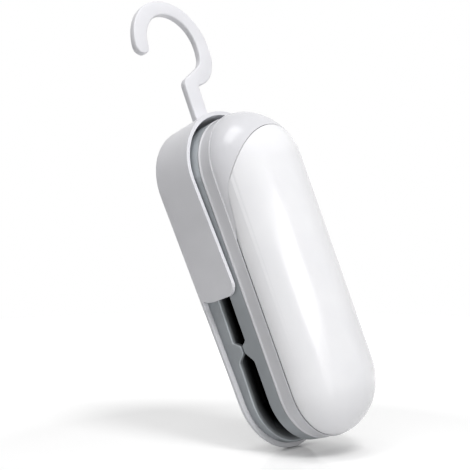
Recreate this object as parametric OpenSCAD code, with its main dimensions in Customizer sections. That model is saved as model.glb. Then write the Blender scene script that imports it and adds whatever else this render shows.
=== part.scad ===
// Hand-squeezed mini bag sealer with a hanging hook.
// The back lies on the XY plane, the hook points along +X and the domed front faces +Z.

/* [Body] */
// Length of the two grey frames and the front shell
body_len = 105; // [102:0.5:112]
// Width of the two grey frames and the front shell
body_w = 37; // [36.5:0.1:39]
// Depth of the front grey frame
front_h = 5.3; // [5.2:0.1:7]
// Depth of the white rim between the front frame and the door seam
rim_h = 5; // [4.8:0.1:7]
// Height of the domed front above the door seam
dome_h = 14.6; // [14.4:0.1:18]
// Inset of the dome from the rim
dome_step = 0.4; // [0.3:0.05:0.6]
// Squareness of the dome's section, where 2 is an ellipse
dome_power = 1.76; // [1.7:0.02:2.4]

/* [Rear shell] */
// Thickness of the flat back
plate_t = 1.8; // [1.6:0.1:2.6]
// Radius of the rounded edge of the back
edge_r = 1.4; // [0.6:0.1:1.5]
// Gap between the guard wall and the frames inside it
guard_gap = 0.35; // [0.3:0.05:0.6]
// Thickness of the guard wall
guard_t = 1.25; // [1:0.05:2]
// Extra room between the guard wall and the frames at the hook end
crown_gap = 1; // [0.8:0.1:1.6]
// Length of the guard wall from the hook end of the body
guard_len = 53.4; // [40:0.2:56]
// Depth of the guard wall at the hook end, from the back
guard_z = 15.7; // [14:0.1:18.6]
// Rise of the guard's front edge towards the hook, in mm per mm
guard_slope = -0.015; // [-0.03:0.001:0.03]
// Angle by which the rear half grows deeper towards the hook
wedge_angle = 3; // [2.4:0.1:3.2]
// Extra depth of the rear half at mid length, from that angle
wedge_z = 1.25; // [1.2:0.05:2]
// Radius of the guard's lower front corner
guard_corner = 3.6; // [1:0.1:6]

/* [Hook] */
// Outer radius of the hook's loop
hook_r = 16; // [14:0.1:20]
// Width of the hook's bar at the side of the loop
hook_bar = 5.3; // [4:0.1:6]
// Raise of the loop's inner circle, which thins the bar at the top
hook_shift = 0.7; // [0:0.1:1]
// Angle by which the free end stops short of half a turn
hook_end = 6.5; // [0:0.5:20]
// Thickness of the hook
hook_t = 2.3; // [2:0.1:4]
// Height of the hook's rear face above the back
hook_z = 4.1; // [3:0.1:6]
// Height of the loop's centre above the hook end of the body
hook_rise = 26.35; // [24:0.05:30]
// Sideways place of the loop's centre, towards the open side
hook_side = 1.95; // [1:0.05:4]
// Outer radius of the bend between the loop and the stem
neck_r = 10.8; // [9:0.1:12]
// Depth of that bend's centre below the loop's centre
neck_drop = 1.4; // [1:0.1:2]
// Angle of the bend, up to its straight run into the stem
neck_turn = 63; // [50:1:75]
// Width of the hook's stem
stem_w = 6; // [5:0.1:7]
// Sideways place of the stem, away from the open side
stem_side = 2.3; // [1:0.1:3]

/* [Frames and slot] */
// Height of the rear frame's gap edge above the back
rear_z = 5.5; // [5.4:0.1:7]
// Width of the slot at the hinge
slot_h = 3.85; // [3.6:0.05:5]
// Thickness of the frames' side walls
wall_t = 1.6; // [1.2:0.1:2]
// Thickness of the frames' floors
floor_t = 1; // [0.8:0.1:1.2]
// Depth of the front frame's floor behind its gap edge
floor_inset = 1; // [0.9:0.05:1.2]
// Extra slot width in the mouth at the tail
mouth_cut = 0.8; // [0.2:0.1:0.8]
// Angle by which the front half stands open at rest
open_angle = 1.41; // [1:0.01:1.8]
// Distance of the bag-edge stops from the tail
nub_inset = 35.5; // [34:0.5:40]
// Height of a rear stop above the rear frame's gap edge
nub_h = 2.8; // [2.2:0.1:3]
// Gap between the tips of the stops at rest
nub_gap = 0.7; // [0.5:0.05:1]
// Gap left between the tips when the halves are squeezed
stop_gap = 0.1; // [0.05:0.05:0.2]

/* [Hinge] */
// Distance of the hinge axis from the hook end
hinge_inset = 8.5; // [8:0.1:10]
// Height of the hinge axis above the back
hinge_z = 6; // [5.8:0.1:6.4]
// Diameter of the hinge pin
pin_d = 2.5; // [2:0.1:3]
// Radius of the hinge ears and knuckles
ear_r = 2.6; // [2.2:0.1:2.8]
// Width of one ear or knuckle
ear_w = 3; // [2:0.1:3.4]
// Running clearance of a knuckle on the pin, on the radius
pin_gap = 0.05; // [0.02:0.01:0.08]
// Side gap between an ear and a knuckle
ear_gap = 0.4; // [0.3:0.05:0.6]

/* [Sealing head] */
// Distance of the heater from the tail
heater_inset = 22.5; // [21:0.5:24]
// Length of the heated line, across the body
heater_len = 25; // [20:0.5:26]
// Width of the heater ribbon
heater_w = 3; // [2:0.1:5]
// Thickness of the heater ribbon
heater_t = 0.3; // [0.2:0.05:0.4]
// Width of the heater carrier along the body
carrier_w = 8; // [6:0.5:10]
// Depth of the heater carrier under the front frame's floor
carrier_h = 2.4; // [2:0.1:2.8]
// Thickness of the heat-resistant cover over the heater
cover_t = 0.25; // [0.2:0.05:0.4]
// Thickness of the silicone pad
pad_t = 2; // [1:0.1:3]
// Gap left between the cover and the pad when squeezed
seal_gap = 0.15; // [0.1:0.05:0.3]

/* [Battery bay] */
// Diameter of a cell
cell_d = 14.5; // [14:0.1:14.6]
// Length of a cell with its positive cap
cell_len = 50.5; // [49:0.1:50.8]
// Height of the cells' axes above the door seam
cell_rise = 2.5; // [2.3:0.1:2.8]
// Clearance round a cell in its channel
cell_gap = 0.3; // [0.2:0.05:0.4]
// Clearance between a cell and the inside of the door
dome_room = 0.1; // [0.05:0.05:0.3]
// Gap between the two cells
cell_split = 0.3; // [0.2:0.05:0.4]
// Length kept for a battery spring
spring_room = 3.2; // [2.6:0.1:3.6]
// Thickness of the shell's and the door's walls
shell_t = 1.2; // [1:0.05:1.3]
// Gap along the door seam
door_gap = 0.2; // [0.1:0.05:0.3]
// Distance of the door's arched end from the hook end
door_inset = 8.2; // [7:0.2:12]
// Distance of the arch's foot from the side of the dome
door_edge = 0.4; // [0.35:0.05:1]

/* [Hidden] */
$fn = 64;

// Overlap of features fused into one solid
fuse = 0.2;
// Clearance of a screw or a peg in its own bore
bore_gap = 0.02;
// Free height between parts of two halves at rest
rest_gap = 0.35;

half_len = body_len / 2;
body_r = body_w / 2;
end_x = half_len - body_r;
guard_in = guard_gap;
guard_out = guard_gap + guard_t;
guard_x = half_len - guard_len;
// Depth and reach that are larger than anything in the part
deep = 12;
reach = 3 * body_len;

// Levels of the front half with the halves parallel
front_z = rear_z + slot_h;
floor_z = front_z + floor_inset;
deck_z = floor_z + floor_t;
rim_z = front_z + front_h;
seam_z = rim_z + rim_h;

hinge_x = half_len - hinge_inset;
nub_x = nub_inset - half_len;
heater_x = heater_inset - half_len;
inner_z = plate_t + floor_t;

// How far a point of the front half at x rises from the parallel to the open position
function lift(x) = (hinge_x - x) * sin(open_angle);
// How far it comes down again at full squeeze
squeeze = asin((nub_gap - stop_gap) / (hinge_x - nub_x));
function drop(x) = (hinge_x - x) * sin(squeeze);

nub_tip_z = rear_z + nub_h;
front_tip_z = nub_tip_z + nub_gap - lift(nub_x);
nub_up = 2.7;
nub_down = 4.3;
nub_flat = 0.7;

carrier_z = floor_z - carrier_h;
heater_z = carrier_z - heater_t;
cover_z = heater_z - cover_t;
cover_half = carrier_w / 2 + cover_t;
pad_top = cover_z + lift(heater_x + cover_half) - drop(heater_x - cover_half) - seal_gap;
pad_w = carrier_w + 2;
pad_len = heater_len + 1;
pad_seat_margin = 0.5;

cell_z = seam_z + cell_rise;
cell_y = (cell_d + cell_split) / 2;
cell_cap_d = 5.5;
cell_cap_h = 1.5;
contact_t = 0.4;
channel_r = cell_d / 2 + cell_gap;
bay_half = (cell_len + spring_room) / 2;
tray_wall = 1.6;
tray_half = bay_half + contact_t + tray_wall;
tray_side_gap = 1.1;
tray_w = 2 * (body_r - shell_t - tray_side_gap);
tray_z = cell_z - channel_r - floor_t;
tray_drop = 1;
tray_top = cell_z - tray_drop;
tray_end_rise = 3;
tray_end_top = cell_z + tray_end_rise;
tray_end_side = 0.6;
contact_w = 10;
contact_rise = 2.6;
contact_top = cell_z + contact_rise;
contact_slot_gap = 0.02;
contact_side_gap = 0.1;
contact_tab_w = 3;
contact_tab_y = 4.5;
// Outer edge of the contact plates
contact_y_far = cell_y + contact_w / 2;
tray_end_w = 2 * (contact_y_far + tray_end_side);

spring_x = 24;
spring_d = 7.5;
spring_wire = 0.8;
spring_turns = 5;
peg_h = 3;
peg_gap = 0.2;
battery_spring_d = 8;
battery_spring_wire = 0.7;
battery_spring_turns = 3;

switch_x = 5;
plunger_d = 3;
plunger_len = 3.8;
flange_d = 4.4;
flange_h = 0.5;
plunger_top_d = 2;
plunger_top_h = 0.4;
plunger_lift = 0.05;
post_d = 5;
plunger_tip = deck_z + plunger_lift - plunger_len;
switch_size = 7;
switch_h = 1.4;
switch_well_d = 5.2;
board_len = 20;
board_w = 12;
board_gap = 0.05;
board_t = tray_z - deck_z - switch_h - board_gap;
board_z = tray_z - board_t;
lead_d = 1;
lead_z = (deck_z + tray_z) / 2;
// Distance of the heater leads' turn from the switch
lead_turn = 4;

screw_d = 2;
screw_head_d = 3.4;
screw_head_h = 0.9;
boss_d = 5;
// Overlap of a front screw boss with the shell's wall
boss_bite = 0.3;
front_screw_r = body_r - shell_t - boss_d / 2 + boss_bite;
front_screw_angle = 48;
front_screw_x = end_x + front_screw_r * cos(front_screw_angle);
front_screw_y = front_screw_r * sin(front_screw_angle);
rear_head_h = 0.8;
rear_head_sink = 0.2;
// Play of a screw and of its head in a plain hole, on the diameter
screw_play = 0.3;
head_play = 0.4;
// Gaps between the rear screw bosses and the frame's wall
tail_screw_gap = 1.672;
hook_screw_gap = 2.4;
tail_screw_angle = 45;
tail_screw_r = body_r - wall_t - boss_d / 2 - tail_screw_gap;
tail_screw_x = -(end_x + tail_screw_r * cos(tail_screw_angle));
tail_screw_y = tail_screw_r * sin(tail_screw_angle);
hook_screw_x = end_x;
hook_screw_y = body_r - wall_t - boss_d / 2 - hook_screw_gap;

terminal_w = 3.4;
terminal_t = 1;
terminal_pin_d = 1.2;
terminal_y = heater_len / 2 + heater_t;

white = [0.94, 0.94, 0.95];
grey = [0.47, 0.5, 0.52];
steel = [0.75, 0.76, 0.78];
brass = [0.82, 0.68, 0.36];

// Pill outline of the body, grown by o and longer at the hook end by more
module pill(o = 0, more = 0) {
  translate([-end_x, -body_r - o]) square([2 * end_x + more, body_w + 2 * o]);
  translate([-end_x, 0]) circle(d = body_w + 2 * o);
  translate([end_x + more, 0]) circle(d = body_w + 2 * o);
}

// Upright wall between two grown pills
module pill_ring(outer, inner, z, h, more = 0) {
  translate([0, 0, z]) linear_extrude(h) difference() {
    pill(outer, more);
    pill(inner, more);
  }
}

module pill_slab(o, z, h) {
  translate([0, 0, z]) linear_extrude(h) pill(o);
}

// Solid of one half section, carried along the middle and turned round both ends
module pill_sweep(more = 0) {
  translate([-end_x, 0, 0]) rotate_extrude() children();
  translate([end_x + more, 0, 0]) rotate_extrude() children();
  translate([-end_x, 0, 0]) rotate([90, 0, 90]) linear_extrude(2 * end_x + more) {
    children();
    mirror([1, 0]) children();
  }
}

// Half section of the back plate with its rounded rear edge
module plate_section() {
  r = body_r + guard_out;
  square([r - edge_r, plate_t]);
  translate([0, edge_r]) square([r, plate_t - edge_r]);
  translate([r - edge_r, edge_r]) intersection() {
    circle(edge_r);
    translate([0, -edge_r]) square([edge_r, edge_r]);
  }
}

// Dome over the pill outline, shrunk by o
module dome(o = 0) {
  w = body_r - dome_step - o;
  h = dome_h - o;
  steps = 14;
  arc = [for (i = [0:steps]) let (a = 90 * i / steps)
    [w * pow(cos(a), 2 / dome_power), h * pow(sin(a), 2 / dome_power)]];
  translate([0, 0, seam_z]) pill_sweep() polygon(concat([[0, 0]], arc));
}

// Plan of the door, grown by o, with its arched hook end
module door_plan(o = 0) {
  r = body_r - dome_step - door_edge;
  foot = half_len - door_inset - r;
  w = body_r + 1;
  translate([-half_len - 1, -w]) square([foot + o + half_len + 1, 2 * w]);
  translate([foot, 0]) circle(r + o);
}

// Places a piece drawn square to the slot onto the wedge-shaped rear half
module upper() {
  translate([0, 0, wedge_z]) rotate([0, -wedge_angle, 0]) children();
}

// Height above the back of a point of such a piece
function upper_z(x, z) = wedge_z + x * sin(wedge_angle) + z * cos(wedge_angle);

// Places a piece of the front half at its open rest position
module lever() {
  upper() translate([hinge_x, 0, hinge_z]) rotate([0, open_angle, 0])
    translate([-hinge_x, 0, -hinge_z]) children();
}

// Keeps what lies above a height over the back
module above(z) {
  intersection() {
    children();
    translate([-reach / 2, -reach / 2, z]) cube(reach);
  }
}

// Side outline drawn in X and Z, carried across the body from y0 to y1
module side_cut(y0, y1) {
  translate([0, y1, 0]) rotate([90, 0, 0]) linear_extrude(y1 - y0) children();
}

module box(x0, x1, y0, y1, z0, z1) {
  translate([x0, y0, z0]) cube([x1 - x0, y1 - y0, z1 - z0]);
}

// Round wire along a list of points
module lead(points) {
  for (i = [0:len(points) - 2]) {
    run = points[i + 1] - points[i];
    turn = atan2(run.y, run.x);
    tilt = acos(run.z / norm(run));
    translate(points[i]) rotate([0, tilt, turn]) cylinder(d = lead_d, h = norm(run), $fn = 20);
  }
  for (i = [1:1:len(points) - 2])
    translate(points[i]) sphere(d = lead_d, $fn = 20);
}

// Round-wire coil standing on z = 0, as one tube of triangles
module coil(d, wire, turns, h) {
  rings = 12 * turns;
  sides = 6;
  rise = (h - wire) / rings;
  mean = (d - wire) / 2;
  points = [for (i = [0:rings], j = [0:sides - 1])
    let (a = 360 * turns * i / rings, b = 360 * j / sides, r = mean + wire / 2 * cos(b))
    [r * cos(a), r * sin(a), wire / 2 + rise * i + wire / 2 * sin(b)]];
  walls = [for (i = [0:rings - 1], j = [0:sides - 1])
    let (k = (j + 1) % sides, a = i * sides)
    each [[a + j, a + k, a + sides + k], [a + j, a + sides + k, a + sides + j]]];
  last = rings * sides;
  caps = [for (j = [1:sides - 2])
    each [[0, j + 1, j], [last, last + j, last + j + 1]]];
  polyhedron(points, [for (f = concat(walls, caps)) [f[2], f[1], f[0]]]);
}

module screw(head_h, shank) {
  cylinder(d = screw_head_d, h = head_h);
  cylinder(d = screw_d, h = head_h + shank);
}

module at_rear_screws() {
  for (side = [-1, 1]) {
    translate([tail_screw_x, side * tail_screw_y, 0]) children();
    translate([hook_screw_x, side * hook_screw_y, 0]) children();
  }
}

module at_front_screws() {
  for (end = [-1, 1], side = [-1, 1])
    translate([end * front_screw_x, side * front_screw_y, 0]) children();
}

// Points along an arc, without its first one
function arc_points(centre, r, a0, a1, n) = [for (i = [1:n])
  let (a = a0 + (a1 - a0) * i / n) centre + r * [cos(a), sin(a)]];

// Guard wall as seen from the side, its corner touching the sloping front edge
module guard_side() {
  far = half_len + guard_out + crown_gap + 1;
  far_top = guard_z + (far - end_x) * guard_slope;
  tilt = atan(guard_slope);
  corner_x = guard_x + guard_corner;
  corner_z = guard_z + (corner_x - end_x) * guard_slope - guard_corner / cos(tilt);
  polygon(concat(
    [[far, far_top], [far, 0], [guard_x, 0], [guard_x, corner_z]],
    arc_points([corner_x, corner_z], guard_corner, 180, 90 + tilt, 16)
  ));
}

// Hook drawn with u to the right and v up, about the loop's centre
module hook_plan() {
  inner = hook_r - hook_bar;
  // Edges of the loop where the bend takes over
  joint_out = sqrt(hook_r * hook_r - neck_drop * neck_drop);
  joint_in = sqrt(inner * inner - pow(neck_drop + hook_shift, 2));
  neck = [joint_out - neck_r, -neck_drop];
  neck_in = joint_in - neck[0];
  // Rounded top of the stem, touched by the bend's straight run
  stem_r = stem_w / 2;
  run = [cos(neck_turn), -sin(neck_turn)];
  stem_top = (-(neck * run) - neck_in - stem_r + stem_side * run[0]) / -run[1];
  stem_turn = acos((stem_side + stem_r - neck[0]) / neck_r);
  base_v = crown_gap + guard_gap + guard_t * 0.7 - hook_rise;
  end_mid = (hook_r + inner) / 2;
  end_turn = asin(sin(hook_end) - hook_shift / inner);
  polygon(concat(
    arc_points([0, 0], hook_r, 180 - hook_end, -asin(neck_drop / hook_r), 44),
    arc_points(neck, neck_r, 0, -stem_turn, 20),
    [[stem_side + stem_r, base_v], [stem_side - stem_r, base_v], [stem_side - stem_r, stem_top]],
    arc_points([stem_side, stem_top], stem_r, 180, 180 - neck_turn, 8),
    [neck + neck_in * run],
    arc_points(neck, neck_in, -neck_turn, 0, 12),
    arc_points([0, hook_shift], inner, -asin((neck_drop + hook_shift) / inner), 180 - end_turn, 40),
    arc_points(end_mid * [-cos(hook_end), sin(hook_end)], hook_bar / 2, -hook_end, -hook_end - 180, 14)
  ));
}

module rear_shell() {
  color(white) difference() {
    union() {
      pill_sweep(crown_gap) plate_section();
      intersection() {
        pill_ring(guard_out, guard_in, plate_t - fuse, guard_z + body_len * abs(guard_slope), crown_gap);
        side_cut(-body_w, body_w) guard_side();
      }
      upper() translate([half_len + hook_rise, hook_side, hook_z]) rotate(-90)
        linear_extrude(hook_t) hook_plan();
    }
    at_rear_screws() {
      translate([0, 0, -1]) cylinder(d = screw_d + screw_play, h = plate_t + 2);
      translate([0, 0, -1]) cylinder(d = screw_head_d + head_play, h = 1 + rear_head_sink + rear_head_h);
    }
  }
}

// Stop for the bag's edge, as seen from the side
module nub_side(base, tip) {
  polygon([
    [nub_x + nub_up, base], [nub_x + nub_flat, tip],
    [nub_x - nub_flat, tip], [nub_x - nub_down, base]
  ]);
}

module nubs(base, tip) {
  for (side = [0, 1])
    mirror([0, side, 0]) side_cut(body_r - wall_t, body_r) nub_side(base, tip);
}

// Hinge ears of the rear frame, with their feet in its floor
module ears() {
  for (side = [0, 1]) mirror([0, side, 0]) translate([hinge_x, ear_y + ear_w, hinge_z])
    rotate([90, 0, 0]) linear_extrude(ear_w) {
      circle(ear_r);
      translate([-ear_r, -deep]) square([2 * ear_r, deep]);
    }
}

module rear_frame() {
  seat_half = pad_w / 2 + pad_seat_margin;
  seat_side = pad_len / 2 + pad_seat_margin;
  post_top = plunger_tip + lift(switch_x) - rest_gap;
  color(grey) difference() {
    union() {
      difference() {
        above(plate_t) upper() pill_slab(0, -deep, deep + rear_z);
        above(inner_z) upper() pill_slab(-wall_t, -deep, 3 * deep);
      }
      upper() nubs(rear_z - fuse, nub_tip_z);
      above(inner_z - fuse) upper() {
        box(heater_x - seat_half, heater_x + seat_half, -seat_side, seat_side, -deep, pad_top - pad_t);
        translate([switch_x, 0, -deep]) cylinder(d = post_d, h = post_top + deep);
        ears();
      }
      translate([spring_x, 0, inner_z - fuse])
        cylinder(d = spring_d - 2 * (spring_wire + peg_gap), h = peg_h);
      at_rear_screws() translate([0, 0, inner_z - fuse]) cylinder(d = boss_d, h = rear_boss_h + fuse);
    }
    upper() translate([hinge_x, body_w, hinge_z]) rotate([90, 0, 0])
      cylinder(d = pin_d + 2 * bore_gap, h = 2 * body_w);
    at_rear_screws() translate([0, 0, plate_t - 1])
      cylinder(d = screw_d + 2 * bore_gap, h = inner_z + rear_boss_h - 0.3 - plate_t + 1);
  }
}

// Inner side of the ears, just outside the knuckles
knuckle_y = 2.6;
ear_y = knuckle_y + ear_w + ear_gap;
pin_len = 2 * (ear_y + ear_w);
rear_boss_h = 1.4;
rear_shank = inner_z + rear_boss_h - 0.4 - rear_head_sink - rear_head_h;

module rear_screws() {
  color(steel) at_rear_screws() translate([0, 0, rear_head_sink]) screw(rear_head_h, rear_shank);
}

module sealing_pad() {
  color([0.75, 0.3, 0.2]) upper()
    box(heater_x - pad_w / 2, heater_x + pad_w / 2, -pad_len / 2, pad_len / 2, pad_top - pad_t, pad_top);
}

module hinge_pin() {
  color(steel) upper() translate([hinge_x, pin_len / 2, hinge_z]) rotate([90, 0, 0])
    cylinder(d = pin_d, h = pin_len);
}

module return_spring() {
  x = spring_x - spring_d / 2;
  height = upper_z(x, floor_z + lift(x)) - inner_z - 0.3;
  color(steel) translate([spring_x, 0, inner_z + 0.05]) coil(spring_d, spring_wire, spring_turns, height);
}

module front_frame() {
  mouth_x = nub_x - nub_down - 0.6;
  color(grey) lever() difference() {
    union() {
      pill_ring(0, -wall_t, front_z, front_h);
      pill_slab(-fuse, floor_z, floor_t);
      nubs(front_z + fuse, front_tip_z);
      for (side = [0, 1]) mirror([0, side, 0]) translate([hinge_x, knuckle_y + ear_w, hinge_z])
        rotate([90, 0, 0]) linear_extrude(ear_w) {
          circle(ear_r);
          translate([-ear_r, 0]) square([2 * ear_r, floor_z + fuse - hinge_z]);
        }
      at_front_screws() translate([0, 0, deck_z - fuse]) cylinder(d = boss_d, h = rim_z - deck_z + fuse);
    }
    box(-body_len, mouth_x, -body_w, body_w, front_z - 1, front_z + mouth_cut);
    translate([hinge_x, body_w, hinge_z]) rotate([90, 0, 0])
      cylinder(d = pin_d + 2 * pin_gap, h = 2 * body_w);
    translate([switch_x, 0, front_z]) cylinder(d = plunger_d + 2 * pin_gap, h = front_h);
    for (side = [-1, 1]) translate([heater_x, side * (terminal_y + terminal_t / 2), front_z])
      cylinder(d = terminal_pin_d + 2 * bore_gap, h = front_h);
    at_front_screws() translate([0, 0, front_z]) cylinder(d = screw_d + screw_play, h = front_h + 1);
  }
}

module front_shell() {
  color(white) lever() difference() {
    union() {
      pill_ring(0, -shell_t, rim_z, rim_h);
      difference() {
        dome();
        dome(shell_t);
        translate([0, 0, seam_z - 1]) linear_extrude(dome_h + 2) door_plan(door_gap);
      }
      at_front_screws() translate([0, 0, rim_z]) cylinder(d = boss_d, h = rim_h - 0.4);
    }
    at_front_screws() translate([0, 0, rim_z - 1]) cylinder(d = screw_d + 2 * bore_gap, h = rim_h);
  }
}

module front_screws() {
  shank = rim_z + rim_h - 1.2 - floor_z;
  color(steel) lever() at_front_screws()
    translate([0, 0, floor_z - screw_head_h]) screw(screw_head_h, shank);
}

// Bulges of the door that would clear the cells where the dome is too low for them
module cell_bulges(o = 0) {
  r = cell_d / 2 + dome_room + shell_t - o;
  half = bay_half + shell_t - o;
  at_cells() translate([-half, 0, 0]) rotate([0, 90, 0]) cylinder(r = r, h = 2 * half);
}

module battery_door() {
  color([0.97, 0.97, 0.98]) lever() intersection() {
    difference() {
      union() {
        dome();
        cell_bulges();
      }
      dome(shell_t);
      cell_bulges(shell_t);
    }
    translate([0, 0, seam_z + door_gap]) linear_extrude(dome_h) door_plan();
  }
}

module at_cells() {
  for (side = [-1, 1])
    translate([0, side * cell_y, cell_z]) children();
}

module battery_tray() {
  slot_y = contact_y_far + contact_side_gap;
  color([0.25, 0.26, 0.28]) lever() difference() {
    union() {
      box(-tray_half, tray_half, -tray_w / 2, tray_w / 2, tray_z, tray_top);
      box(-tray_half, tray_half, -tray_end_w / 2, tray_end_w / 2, tray_top - fuse, tray_end_top);
    }
    at_cells() translate([-bay_half, 0, 0]) rotate([0, 90, 0]) cylinder(r = channel_r, h = 2 * bay_half);
    box(-bay_half, bay_half, -tray_w, tray_w, tray_top, tray_end_top + 1);
    for (end = [0, 1]) mirror([end, 0, 0])
      box(bay_half - fuse, bay_half + contact_t + contact_slot_gap, -slot_y, slot_y,
        tray_z - 1, tray_end_top + 1);
  }
}

// One cell along +X, with its positive cap at the +X end
module cell() {
  body = cell_len - cell_cap_h;
  translate([-bay_half + spring_room, 0, 0]) rotate([0, 90, 0]) {
    cylinder(d = cell_d, h = body);
    cylinder(d = cell_cap_d, h = cell_len);
  }
}

module battery_cell_1() {
  color([0.2, 0.45, 0.35]) lever() translate([0, cell_y, cell_z]) cell();
}

module battery_cell_2() {
  color([0.2, 0.45, 0.35]) lever() translate([0, -cell_y, cell_z]) mirror([1, 0, 0]) cell();
}

module contact_bridge() {
  color(steel) lever()
    box(bay_half, bay_half + contact_t, -contact_y_far, contact_y_far, tray_z + floor_t, contact_top);
}

// Contact plate at the tail end of one cell, with a tab down to its lead
module tail_contact(side) {
  y0 = cell_y - contact_w / 2 + 1;
  mirror([0, side < 0 ? 1 : 0, 0]) mirror([1, 0, 0]) {
    box(bay_half, bay_half + contact_t, y0, contact_y_far, tray_z + floor_t, contact_top);
    translate([0, contact_tab_y, 0])
      box(bay_half, bay_half + contact_t, -contact_tab_w / 2, contact_tab_w / 2,
        lead_z - lead_d / 2, tray_z + floor_t + fuse);
  }
}

module contact_minus() {
  color(steel) lever() tail_contact(1);
}

module contact_plus() {
  color(steel) lever() tail_contact(-1);
}

module battery_springs() {
  h = spring_room - 0.1;
  color(steel) lever() for (side = [-1, 1])
    translate([-side * (bay_half - 0.05), side * cell_y, cell_z]) rotate([0, side * 90, 0])
      coil(battery_spring_d, battery_spring_wire, battery_spring_turns, h);
}

module heater_carrier() {
  color([0.35, 0.24, 0.18]) lever()
    box(heater_x - carrier_w / 2, heater_x + carrier_w / 2, -heater_len / 2, heater_len / 2,
      carrier_z, floor_z);
}

module heater_strip() {
  color(steel) lever() difference() {
    box(heater_x - heater_w / 2, heater_x + heater_w / 2, -terminal_y, terminal_y, heater_z, floor_z);
    box(heater_x - heater_w, heater_x + heater_w, -heater_len / 2, heater_len / 2, carrier_z, floor_z + 1);
  }
}

module heater_cover() {
  half = heater_len / 2 - 0.5;
  color([0.75, 0.62, 0.42]) lever() difference() {
    box(heater_x - cover_half, heater_x + cover_half, -half, half, cover_z, floor_z - 0.4);
    box(heater_x - carrier_w / 2, heater_x + carrier_w / 2, -half - 1, half + 1, heater_z, floor_z);
  }
}

module heater_terminals() {
  color(brass) lever() for (side = [0, 1]) mirror([0, side, 0]) {
    box(heater_x - terminal_w / 2, heater_x + terminal_w / 2, terminal_y, terminal_y + terminal_t,
      carrier_z + 0.6, floor_z);
    translate([heater_x, terminal_y + terminal_t / 2, floor_z - fuse])
      cylinder(d = terminal_pin_d, h = lead_z + lead_d / 2 - floor_z + fuse);
  }
}

module switch_board() {
  color([0.15, 0.4, 0.25]) lever()
    box(switch_x - board_len / 2, switch_x + board_len / 2, -board_w / 2, board_w / 2, board_z, tray_z);
}

module tact_switch() {
  color([0.15, 0.15, 0.16]) lever() difference() {
    box(switch_x - switch_size / 2, switch_x + switch_size / 2, -switch_size / 2, switch_size / 2,
      board_z - switch_h, board_z);
    translate([switch_x, 0, board_z - switch_h - 1]) cylinder(d = switch_well_d, h = switch_h + 0.9);
  }
}

module switch_plunger() {
  color([0.85, 0.85, 0.82]) lever() translate([switch_x, 0, plunger_tip]) {
    cylinder(d = plunger_d, h = plunger_len);
    translate([0, 0, plunger_len]) cylinder(d = flange_d, h = flange_h);
    cylinder(d = plunger_top_d, h = plunger_len + flange_h + plunger_top_h);
  }
}

module heater_leads() {
  y = terminal_y + terminal_t / 2;
  x0 = heater_x + terminal_pin_d / 2;
  turn_x = switch_x - lead_turn;
  color([0.7, 0.15, 0.12]) lever() for (side = [-1, 1])
    lead([[x0, side * y, lead_z], [turn_x, side * y, lead_z], [turn_x, side * board_w / 2, lead_z]]);
}

module battery_leads() {
  color([0.12, 0.12, 0.13]) lever() for (side = [-1, 1])
    lead([
      [-bay_half, side * contact_tab_y, lead_z],
      [switch_x - board_len / 2, side * contact_tab_y, lead_z]
    ]);
}

rear_shell();
rear_frame();
rear_screws();
sealing_pad();
hinge_pin();
return_spring();
front_frame();
front_shell();
front_screws();
battery_tray();
battery_cell_1();
battery_cell_2();
contact_bridge();
contact_plus();
contact_minus();
battery_springs();
heater_carrier();
heater_strip();
heater_cover();
heater_terminals();
switch_board();
tact_switch();
switch_plunger();
heater_leads();
battery_leads();
battery_door();
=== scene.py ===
import math

import bpy
from mathutils import Matrix, Vector


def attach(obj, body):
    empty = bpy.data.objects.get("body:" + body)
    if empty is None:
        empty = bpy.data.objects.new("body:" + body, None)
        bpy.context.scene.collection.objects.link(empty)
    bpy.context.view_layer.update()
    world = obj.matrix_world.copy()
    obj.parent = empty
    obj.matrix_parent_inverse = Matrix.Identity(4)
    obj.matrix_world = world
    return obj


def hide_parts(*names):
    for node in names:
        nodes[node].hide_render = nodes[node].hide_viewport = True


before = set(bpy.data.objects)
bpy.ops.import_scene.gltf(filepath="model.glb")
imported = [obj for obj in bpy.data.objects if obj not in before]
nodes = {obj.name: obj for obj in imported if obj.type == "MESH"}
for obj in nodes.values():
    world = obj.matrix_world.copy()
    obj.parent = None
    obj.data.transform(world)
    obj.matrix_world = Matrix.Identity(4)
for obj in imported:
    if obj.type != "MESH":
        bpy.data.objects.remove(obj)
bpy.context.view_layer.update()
mm = 0.001
scene = bpy.context.scene
scene.view_settings.view_transform = "Standard"
print("frame loaded:", len(nodes), "nodes")

# camera: close to the part, looking down on the guard's side, rolled as in the photograph
cameraSet = {
    "place": (-0.00063, 0.1903, 0.17836),
    "right": (-0.3524, -0.6067, 0.7126),
    "up": (0.9359, -0.2290, 0.2678),
    "lens": 60.8,
    "shift": (-0.0897, 0.0915),
    "nearest": 0.01,
    "aim": (-0.0008, 0.0, 0.0162),
}
camRight = Vector(cameraSet["right"]).normalized()
camBack = camRight.cross(Vector(cameraSet["up"])).normalized()
camUp = camBack.cross(camRight)
aimPoint = Vector(cameraSet["aim"])
bpy.ops.object.select_all(action="DESELECT")
bpy.ops.object.camera_add(location=cameraSet["place"])
camera = bpy.context.object
camera.name = "photoCamera"
camera.rotation_euler = Matrix((camRight, camUp, camBack)).transposed().to_euler()
camera.data.lens = cameraSet["lens"]
camera.data.shift_x, camera.data.shift_y = cameraSet["shift"]
camera.data.clip_start = cameraSet["nearest"]
scene.camera = camera
print("camera set")

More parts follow.
